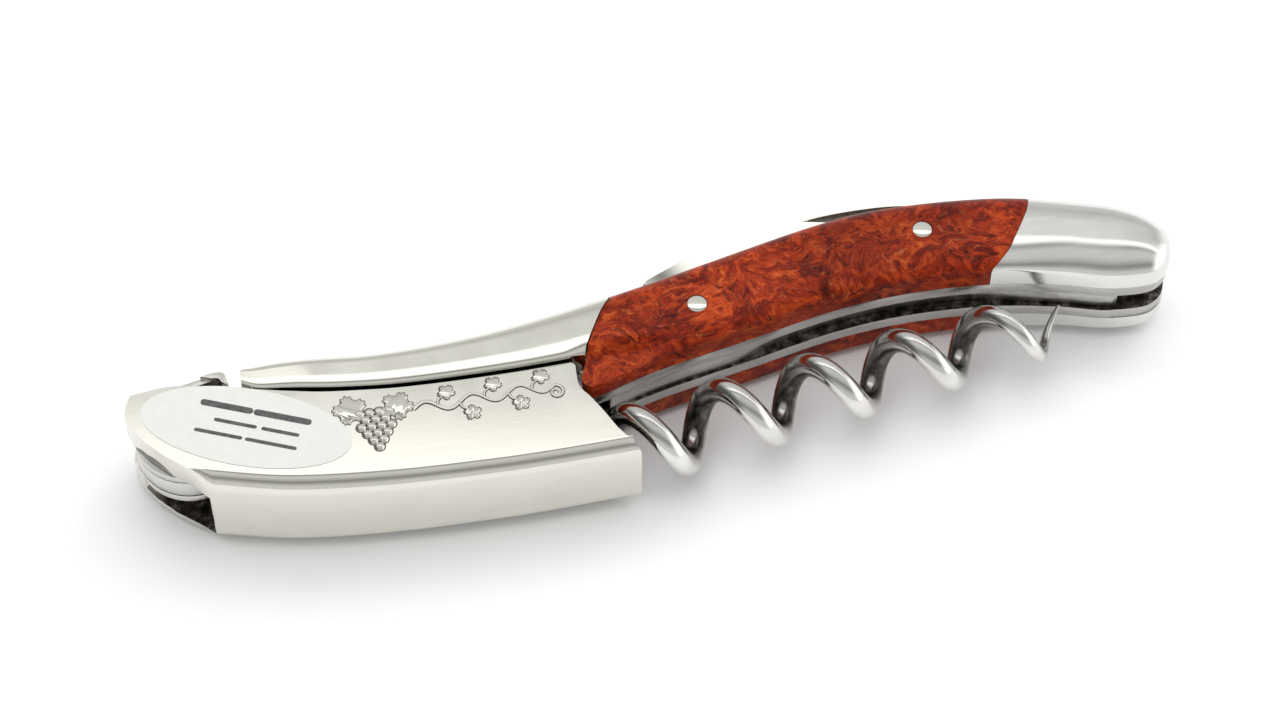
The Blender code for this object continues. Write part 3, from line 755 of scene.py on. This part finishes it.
# Faces whose normal's Z is above this belong to the lever's flat cheeks and stay flat-shaded.
FLAT_ENOUGH = 0.9998
LABEL_CENTRE = np.array([-46.5, -5.15])
LABEL_HALF_SIZES = (12.3, 5.2)
LABEL_TURN = math.radians(-21.5)
BAR_TURN = math.radians(-23.0)
# The label's grey bars: place along and up the label, half length and half thickness.
BARS = ((-2.9, 2.2, 2.7, 0.42), (3.7, 2.2, 3.0, 0.42), (-1.3, 0.2, 2.3, 0.24),
        (4.0, 0.2, 2.0, 0.24), (-2.8, -1.6, 2.6, 0.24), (3.4, -1.6, 2.8, 0.24))


def lever_outline(drop):
    """The lever's outline with its web line drawn in by the given amount."""
    nose = arc(LEVER_PIVOT, NOSE_RADIUS, 176, 150, 10)
    web = np.column_stack([WEB_LINE[:, 0], WEB_LINE[:, 1] + drop])
    web[0, 0] -= 0.8 * drop
    return np.vstack([nose, smooth(LEVER_TOP, 10)[1:], smooth(LEVER_SEAT, 10), web, LEVER_DIAGONAL])


def flared(points):
    """The lever's outer faces, spread apart evenly from its worm end to its nose."""
    worm_end = LEVER_WEB_LINE[0][0]
    moved = []
    for x, y, z in points:
        depth = min(1.0, max(0.0, (abs(z) - LEVER_INNER) / (LEVER_OUTER - LEVER_INNER)))
        share = (worm_end - x) / (worm_end - LEVER_PIVOT[0])
        moved.append((x, y, z + math.copysign(LEVER_FLARE * depth * share, z)))
    return moved


def build_lever(steel):
    """One bent channel: rounded web, hollow between the cheeks, and a pocket in the far cheek's nose."""
    levels = []
    for angle in np.linspace(90, 0, 13):
        z = LEVER_OUTER - WEB_ROUND + WEB_ROUND * math.sin(math.radians(angle))
        levels.append((-z, WEB_ROUND * (1 - math.cos(math.radians(angle)))))
    levels += [(-z, drop) for z, drop in levels[::-1]]
    points, faces = prism([(lever_outline(drop), z) for z, drop in levels])
    lever = add_object("look_lever", flared(points), faces, steel, "lever")
    inside = WEB_LINE[WEB_LINE[:, 0] > WEB_END_X + 0.3] + np.array([0.0, LEVER_WEB])
    channel = np.vstack([[(CLEAR_X, 12.0), (CLEAR_X, CLEAR_Y), (WEB_END_X, CLEAR_Y),
                          (WEB_END_X, -11.7 + LEVER_WEB)], inside[::-1], [(8.0, -13.9), (8.0, 12.0)]])
    boolean(lever, plate("channel", channel, -LEVER_INNER, LEVER_INNER, None))
    pocket_end = WEB_END_X - 0.05
    pocket = np.array([(CLEAR_X, CLEAR_Y), (pocket_end, CLEAR_Y), (pocket_end, -3.5), (CLEAR_X, -3.5)])
    boolean(lever, plate("pocket", pocket, -LEVER_POCKET, 0.5 - LEVER_INNER, None))
    boolean(lever, plate("hole", circle(LEVER_PIVOT, PIVOT_BORE, 48), -THROUGH, THROUGH, None))
    bevel(lever, 0.15, 3)
    if "custom_normal" in lever.data.attributes:
        lever.data.attributes.remove(lever.data.attributes["custom_normal"])
    for face in lever.data.polygons:
        face.use_smooth = abs(face.normal.z) < FLAT_ENOUGH
    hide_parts("lever")


def on_label(along, up, turn):
    """A place on the lever's cheek, from a place on the label."""
    return (LABEL_CENTRE[0] + along * math.cos(turn) - up * math.sin(turn),
            LABEL_CENTRE[1] + along * math.sin(turn) + up * math.cos(turn))


def build_label(white, ink):
    """An oval sticker with three rows of plain grey bars."""
    long_half, short_half = LABEL_HALF_SIZES
    outline = []
    for angle in np.linspace(0, 2 * math.pi, 120, endpoint=False):
        outline.append(on_label(long_half * math.cos(angle), short_half * math.sin(angle), LABEL_TURN))
    points, faces = prism([(outline, LEVER_OUTER + 0.005), (outline, LEVER_OUTER + 0.06)])
    label = add_object("look_label", flared(points), faces, white, "lever")
    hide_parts("label")
    bars = ([], [])
    for along, up, half, thick in BARS:
        ends = np.vstack([arc((half, 0), thick, 90, -90, 8), arc((-half, 0), thick, 270, 90, 8)])
        bar = [on_label(along + x, up + y, BAR_TURN) for x, y in ends.tolist()]
        gather(bars, *prism([(bar, LEVER_OUTER + 0.055), (bar, LEVER_OUTER + 0.07)]))
    add_object("look_label_bars", flared(bars[0]), bars[1], ink, "lever")


def gather(target, points, faces):
    """Adds a solid to the (points, faces) of a piece that is made of several."""
    target[1].extend([[index + len(target[0]) for index in face] for face in faces])
    target[0].extend(points)


# Heights of the struck relief: where it starts inside the cheek, and the tops of its dark outline (a ring
# of painted shade round each shape), of a leaf's edge and middle, and of a stem.
RELIEF_FLOOR = LEVER_OUTER - 0.1
OUTLINE_TOP = LEVER_OUTER + 0.012
LEAF_EDGE_TOP = LEVER_OUTER + 0.05
LEAF_TOP = LEVER_OUTER + 0.16
STEM_TOP = LEVER_OUTER + 0.13
GRAPE_ROWS = (4, 3, 4, 3, 2, 1)
GRAPE_FIRST = (-31.9, -5.7)
GRAPE_PITCH = (1.14, 0.95)
GRAPE_RADIUS = 0.58
GRAPE_RISE = 0.30
OUTLINE_WIDTH = 0.13


def leaf(centre, size, turn):
    """A five-lobed vine leaf outline."""
    outline = []
    for step in range(100):
        angle = 2 * math.pi * step / 100
        lobes = 0.62 + 0.30 * abs(math.cos(2.5 * angle)) ** 0.8 + 0.05 * math.cos(20 * angle)
        outline.append((centre[0] + size * lobes * math.cos(angle + turn),
                        centre[1] + size * lobes * math.sin(angle + turn)))
    return np.array(outline)


def ribbon(path, width):
    """The two sides of a line of the given half width that thins towards its end."""
    path = np.array(path)
    ahead = np.gradient(path, axis=0)
    ahead /= np.linalg.norm(ahead, axis=1)[:, None]
    sideways = np.column_stack([-ahead[:, 1], ahead[:, 0]])
    across = sideways * (width * np.linspace(1.0, 0.55, len(path)))[:, None]
    return path + across, path - across


def add_leaf(raised, outlined, centre, size, turn):
    outline = leaf(centre, size, turn)
    middle = np.array(centre)
    inner = middle + 0.84 * (outline - middle)
    outer = middle + (1 + 0.16 / size) * (outline - middle)
    gather(raised, *prism([(outline, RELIEF_FLOOR), (outline, LEAF_EDGE_TOP), (inner, LEAF_TOP)]))
    gather(outlined, *prism([(outer, RELIEF_FLOOR), (outer, OUTLINE_TOP)]))


def add_grape(raised, outlined, centre):
    levels = []
    for angle in np.linspace(0, math.pi / 2, 6):
        levels.append((circle(centre, max(GRAPE_RADIUS * math.cos(angle), 0.02), 20),
                       LEVER_OUTER - 0.02 + GRAPE_RISE * math.sin(angle)))
    gather(raised, *prism(levels))
    ring = circle(centre, GRAPE_RADIUS + OUTLINE_WIDTH, 20)
    gather(outlined, *prism([(ring, RELIEF_FLOOR), (ring, OUTLINE_TOP)]))


def add_stem(raised, outlined, path, width):
    for target, half, top in ((raised, width, STEM_TOP), (outlined, width + OUTLINE_WIDTH, OUTLINE_TOP)):
        left, right = ribbon(path, half)
        count = len(left)
        points = []
        for side in (left, right):
            points += [(x, y, RELIEF_FLOOR) for x, y in side] + [(x, y, top) for x, y in side]
        faces = []
        for index in range(count - 1):
            for first, second in ((0, 1), (1, 3), (3, 2), (2, 0)):
                a = first * count + index
                b = second * count + index
                faces.append([a, a + 1, b + 1, b])
        faces.append([0, count, 3 * count, 2 * count])
        faces.append([2 * count - 1, 4 * count - 1, 3 * count - 1, count - 1])
        gather(target, points, faces)


def build_relief(steel, dark):
    """A bunch of grapes and a vine with leaves, struck in low relief on the near cheek."""
    both = (([], []), ([], []))
    add_leaf(*both, (-34.6, -5.0), 2.1, 0.5)
    add_leaf(*both, (-29.2, -5.3), 2.0, 2.3)
    for row, count in enumerate(GRAPE_ROWS):
        for index in range(count):
            add_grape(*both, (GRAPE_FIRST[0] + (index - (count - 1) / 2) * GRAPE_PITCH[0],
                              GRAPE_FIRST[1] - row * GRAPE_PITCH[1]))
    along = np.linspace(0.0, 1.0, 140)
    wave = 0.75 * np.sin(3.0 * math.tau * along)
    vine = np.column_stack([-27.4 + 16.4 * along, -6.1 + wave + 0.5 * along])
    add_stem(*both, vine, 0.17)
    for share, up in ((0.17, 1.0), (0.33, -1.0), (0.50, 1.0), (0.67, -1.0), (0.84, 1.0)):
        root = vine[int(share * 139)]
        tip = root + np.array([0.9, 1.15 * up])
        add_stem(*both, smooth([root, root + np.array([0.25, 0.7 * up]), tip], 8), 0.11)
        add_leaf(*both, tuple(tip + np.array([0.35, 0.45 * up])), 1.05, 0.9 * up)
    turns = np.linspace(0.0, 2.6 * math.pi, 60)
    size = 0.95 * (1 - turns / (3.2 * math.pi))
    tendril = [vine[-1, 0] + size * np.sin(turns), vine[-1, 1] - 0.95 + size * np.cos(turns)]
    add_stem(*both, np.column_stack(tendril), 0.13)
    raised, outlined = both
    # The outline is painted shade: a thin dark ring round each raised shape.
    add_object("look_lever_relief_shade_ring", flared(outlined[0]), outlined[1], dark, "lever",
               crease=50.0)
    add_object("look_lever_relief", flared(raised[0]), raised[1], steel, "lever",
               crease=50.0)


# Worm and foil knife ------------------------------------------------------------------------------

def worm_path():
    """Centre line of the worm's wire and its radius, from the eye to the point."""
    along = np.array([math.cos(WORM_SLOPE), math.sin(WORM_SLOPE)])
    across = np.array([-along[1], along[0]])
    helix = []
    sizes = []
    for turn in np.arange(0.04, WORM_TURNS + 1e-9, 1 / 48):
        angle = math.tau * turn
        tip = ease((turn - WORM_TURNS + 0.35) / 0.35)
        radius = WORM_RADIUS_ROOT + (WORM_RADIUS_TIP - WORM_RADIUS_ROOT) * turn / WORM_TURNS
        radius -= WORM_TIP_DRAW * tip
        radius += WORM_LAST_BELLY * ease((turn - 4.1) / 0.35) * (1 - ease((turn - 4.6) / 0.3))
        distance = WORM_START + WORM_PITCH * turn + WORM_TIP_REACH * tip
        spot = np.array([0.0, WORM_AXIS_Y]) + distance * along + radius * math.cos(angle) * across
        helix.append((spot[0], spot[1], radius * math.sin(angle)))
        sizes.append(WIRE_RADIUS * min(1.0, 0.09 + 0.91 * ((WORM_TURNS - turn) / 0.95) ** 0.8))
    root = smooth([(-10.6, -8.0, 0.0), (-8.0, -8.0, 0.0), (-6.9, -8.05, -0.45), (-5.8, -8.15, -1.25),
                   (-4.85, -8.15, -0.6), helix[0]], 10)[:-1]
    return np.vstack([root, helix]), np.linspace(ROOT_RADIUS, WIRE_RADIUS, len(root)).tolist() + sizes


def build_worm(steel):
    """Wire swept along the path, joined to its eye."""
    path, sizes = worm_path()
    sides = 28
    levels = []
    normal = np.array([0.0, 1.0, 0.0])
    for index, spot in enumerate(path):
        ahead = path[min(index + 1, len(path) - 1)] - path[max(index - 1, 0)]
        ahead /= np.linalg.norm(ahead)
        normal = normal - ahead * normal.dot(ahead)
        normal /= np.linalg.norm(normal)
        other = np.cross(ahead, normal)
        for step in range(sides):
            angle = math.tau * step / sides
            levels.append(spot + sizes[index] * (math.cos(angle) * normal + math.sin(angle) * other))
    faces = []
    for low in range(0, len(levels) - sides, sides):
        for step in range(sides):
            beside = (step + 1) % sides
            faces.append([low + step, low + beside, low + sides + beside, low + sides + step])
    faces.append(list(range(sides))[::-1])
    faces.append(list(range(len(levels) - sides, len(levels))))
    worm = add_object("look_worm", levels, faces, steel, "worm")
    boolean(worm, plate("eye", circle(WORM_PIVOT, EYE_RADIUS, 64), -EYE_HALF, EYE_HALF, None), "UNION")
    boolean(worm, plate("hole", circle(WORM_PIVOT, EYE_BORE, 48), -5.0, 5.0, None))
    bevel(worm, 0.08, 2)
    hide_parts("worm")


def blade_columns(columns, rows):
    """One side of the blade as a grid: toothed edge at row 0, spine at the last row."""
    spine = smooth([(1.3, 9.1), (2.5, 10.3), (5.0, 11.5), (9.9, 13.5), (17.4, 15.4), (23.7, 16.3),
                    (30.0, 16.65), (36.1, 16.3), (44.0, 14.6), (50.0, 12.2)], 14)
    points = []
    for column in range(columns + 1):
        x = BLADE_TIP_X + (BLADE_NECK_X - BLADE_TIP_X) * column / columns
        high = float(at(spine, x))
        low = BLADE_EDGE_Y - 0.8 * ease((12.0 - x) / 10.0) - 2.4 * ease((x - 47.0) / 3.0)
        low = min(low, high - 0.3)
        tooth = TOOTH_DEPTH * abs(math.sin((x - 4.0) * math.pi / TOOTH_PITCH)) * ease((x - 3.0) / 2.0)
        tooth *= ease((47.0 - x) / 1.0)
        for row in range(rows + 1):
            t = row / rows
            y = low + (high - low) * t + tooth * max(0.0, 1 - t / 0.16)
            half = 0.10 + 0.45 * ease(t / 0.25) + 0.50 * t if x < 47.5 else BLADE_HALF * ease(0.25 + t)
            points.append((x, y, min(half, 0.15 + (x - 1.3) * 0.6)))
    return points


def build_blade(steel, dark):
    """The foil knife: hollow-ground blade with a toothed edge, a neck on its pivot and a nail nick."""
    columns = 300
    rows = 18
    points = blade_columns(columns, rows)
    total = len(points)
    points += [(x, y, -z) for x, y, z in points]
    faces = []
    for column in range(columns):
        for row in range(rows):
            corner = column * (rows + 1) + row
            beside = corner + rows + 1
            faces.append([corner, beside, beside + 1, corner + 1])
            faces.append([corner + total + 1, beside + total + 1, beside + total, corner + total])
    rim = grid_rim(columns, rows + 1)
    for index, start in enumerate(rim):
        end = rim[(index + 1) % len(rim)]
        faces.append([start, end, end + total, start + total])
    blade = add_object("look_blade", points, faces, steel, "blade", crease=30.0)
    neck = np.vstack([smooth([(49.0, 12.7), (50.0, 12.2), (53.4, 10.4), (55.0, 8.4), (55.8, 7.6)], 8),
                      arc(BLADE_PIVOT, BLADE_TANG_RADIUS, 90, -150, 50),
                      smooth([(52.6, 3.9), (50.6, 5.6), (49.6, 7.4)], 8)])
    boolean(blade, plate("neck", neck, -BLADE_HALF * 0.999, BLADE_HALF * 0.999, None), "UNION")
    boolean(blade, plate("hole", circle(BLADE_PIVOT, PIVOT_BORE, 48), -5.0, 5.0, None))
    nick = np.vstack([smooth([(22.8, 15.75), (25.6, 16.1), (29.5, 16.25), (33.5, 16.1), (37.0, 15.6)], 12),
                      smooth([(37.0, 15.6), (33.0, 14.9), (27.0, 15.0), (22.8, 15.75)], 12)[1:-1]])
    boolean(blade, plate("nick", nick, 0.50, 2.0, None))
    blade.data.set_sharp_from_angle(angle=math.radians(30))
    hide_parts("blade")
    middle = nick.mean(axis=0)
    shade = middle + 0.97 * (nick - middle)
    plate("look_blade_nick_shade", shade, 0.505, 0.52, dark, "blade")


# Stage --------------------------------------------------------------------------------------------

CAMERA_AZIMUTH = math.radians(-10.6)
CAMERA_ELEVATION = math.radians(55.0)
CAMERA_DISTANCE = 0.3763
CAMERA_LENS = 90.0


def build_stage():
    """A plain pale floor under the object."""
    mesh = bpy.data.meshes.new("floor")
    reach = 3.0
    corners = [(-reach, -reach, 0), (reach, -reach, 0), (reach, reach, 0), (-reach, reach, 0)]
    mesh.from_pydata(corners, [], [(0, 1, 2, 3)])
    floor = bpy.data.objects.new("floor", mesh)
    bpy.context.scene.collection.objects.link(floor)
    mesh.materials.append(speckled_material("floor_white", (3.0, 3.0, 0.5), (0.90, 0.90, 0.91),
                                            (0.93, 0.93, 0.93), (0.6, 0.6)))


def area_light(name, place, width, height, power, colour=(1.0, 1.0, 1.0)):
    """A soft light aimed at the frame's origin. It lights dull surfaces; steel mirrors the world."""
    data = bpy.data.lights.new(name, "AREA")
    data.shape = "RECTANGLE"
    data.size = width
    data.size_y = height
    data.energy = power
    data.color = colour
    light = bpy.data.objects.new(name, data)
    light.location = place
    light.rotation_euler = (Vector() - Vector(place)).to_track_quat("-Z", "Y").to_euler()
    light.visible_glossy = False
    bpy.context.scene.collection.objects.link(light)


# The studio as polished steel mirrors it. SKY runs over the top of the set from the front horizon (-90
# degrees) through the zenith (0) to the back horizon (90), each with a brightness: a soft box behind the
# zenith, a dark gap at its front edge and the dark of the camera and its stand. The ends of the set, left
# and right, have a brightness of their own.
SKY = [(-90.0, 0.72), (-68.0, 0.70), (-52.0, 0.42), (-38.0, 0.30), (-26.0, 0.50), (-8.0, 0.70), (9.0, 0.70),
       (14.0, 0.55), (17.5, 0.26), (20.0, 0.50), (23.5, 1.50), (33.5, 1.50), (34.5, 0.78), (52.0, 0.70),
       (62.0, 0.58), (76.0, 0.70), (90.0, 0.70)]
SET_TURN = CAMERA_AZIMUTH
LEFT_END = 0.10
RIGHT_END = 1.60


def build_sky():
    world = bpy.data.worlds.new("studio")
    bpy.context.scene.world = world
    world.use_nodes = True
    tree = world.node_tree
    direction = tree.nodes.new("ShaderNodeTexCoord").outputs["Generated"]

    def dot(*axis):
        node = tree.nodes.new("ShaderNodeVectorMath")
        node.operation = "DOT_PRODUCT"
        node.inputs[1].default_value = axis
        tree.links.new(direction, node.inputs[0])
        return node.outputs["Value"]

    def ranged(source, kind, *limits):
        node = tree.nodes.new("ShaderNodeMapRange")
        node.interpolation_type = kind
        for name, value in zip(("From Min", "From Max", "To Min", "To Max"), limits):
            node.inputs[name].default_value = value
        tree.links.new(source, node.inputs["Value"])
        return node.outputs["Result"]

    def mixed(factor, first, value):
        node = tree.nodes.new("ShaderNodeMix")
        node.data_type = "RGBA"
        tree.links.new(factor, node.inputs["Factor"])
        tree.links.new(first, node.inputs["A"])
        node.inputs["B"].default_value = (value, value, value, 1.0)
        return node.outputs["Result"]

    angle = tree.nodes.new("ShaderNodeMath")
    angle.operation = "ARCTAN2"
    tree.links.new(dot(-math.sin(SET_TURN), math.cos(SET_TURN), 0.0), angle.inputs[0])
    tree.links.new(dot(0.0, 0.0, 1.0), angle.inputs[1])
    share = ranged(angle.outputs["Value"], "LINEAR", -math.pi / 2, math.pi / 2, 0.001, 0.999)
    ramp = tree.nodes.new("ShaderNodeValToRGB")
    elements = ramp.color_ramp.elements
    elements.remove(elements[1])
    for index, (degrees, value) in enumerate(SKY):
        element = elements.new((degrees + 90.0) / 180.0) if index else elements[0]
        element.color = (value, value, value * 0.985, 1.0)
    tree.links.new(share, ramp.inputs["Fac"])
    side = dot(math.cos(SET_TURN), math.sin(SET_TURN), 0.0)
    sky = mixed(ranged(side, "SMOOTHSTEP", 0.62, 0.93), ramp.outputs["Color"], RIGHT_END)
    sky = mixed(ranged(side, "SMOOTHSTEP", -0.45, -0.90), sky, LEFT_END)
    tree.links.new(sky, tree.nodes["Background"].inputs["Color"])


def build_light():
    build_sky()
    area_light("overhead", (0.0, 0.25, 0.9), 1.6, 1.2, 6.8)
    area_light("left", (-0.8, -0.2, 0.5), 0.6, 0.6, 1.4)
    area_light("right", (0.7, 0.5, 0.4), 0.5, 0.5, 1.4, (1.0, 0.98, 0.95))


def build_camera():
    data = bpy.data.cameras.new("camera")
    data.lens = CAMERA_LENS
    data.sensor_width = 36.0
    data.clip_start = 0.01
    camera = bpy.data.objects.new("camera", data)
    flat = CAMERA_DISTANCE * math.cos(CAMERA_ELEVATION)
    place = ORIGIN + Vector((flat * math.sin(CAMERA_AZIMUTH), -flat * math.cos(CAMERA_AZIMUTH),
                             CAMERA_DISTANCE * math.sin(CAMERA_ELEVATION)))
    camera.location = place
    camera.rotation_euler = (ORIGIN - place).to_track_quat("-Z", "Y").to_euler()
    bpy.context.scene.collection.objects.link(camera)
    bpy.context.scene.camera = camera


def main():
    steel = steel_material("polished_steel", POLISHED)
    # The lever's steel carries painted shade inside its channel.
    lever_steel = steel_material("lever_steel", POLISHED, LEVER_POCKET, channel=True)
    butt_steel = steel_material("butt_steel", BUTT)
    # The satin steel carries painted shade between the layers, and a painted highlight at the claw.
    satin = steel_material("satin_steel", SATIN, LINER_PAINTED_SHADE_HALF, painted_highlight_to=CLAW_HIGHLIGHT_TO)
    worm_steel = worm_material()
    # Painted shade: dark speckled material for the relief's outline and the blade's nail nick.
    dark = speckled_material("painted_recess_shade", (1500.0, 4.0, 0.6), (0.10, 0.09, 0.075), (0.20, 0.18, 0.15),
                             (0.45, 0.6), metallic=0.6)
    paper = speckled_material("white_label", (900.0, 5.0, 0.6), (0.67, 0.68, 0.645), (0.71, 0.72, 0.685),
                              (0.34, 0.44), bump=0.08)
    ink = speckled_material("label_ink", (2500.0, 3.0, 0.5), (0.05, 0.05, 0.05), (0.11, 0.11, 0.11),
                            (0.5, 0.5))
    wood = burl_material()
    build_sides(steel, butt_steel, wood)
    build_liners(satin)
    build_centre_plates(satin)
    build_pins(steel)
    build_lever(lever_steel)
    build_label(paper, ink)
    build_relief(steel, dark)
    build_worm(worm_steel)
    build_blade(steel, dark)
    build_stage()
    build_light()
    build_camera()
    bpy.context.scene.view_settings.view_transform = "Standard"


main()
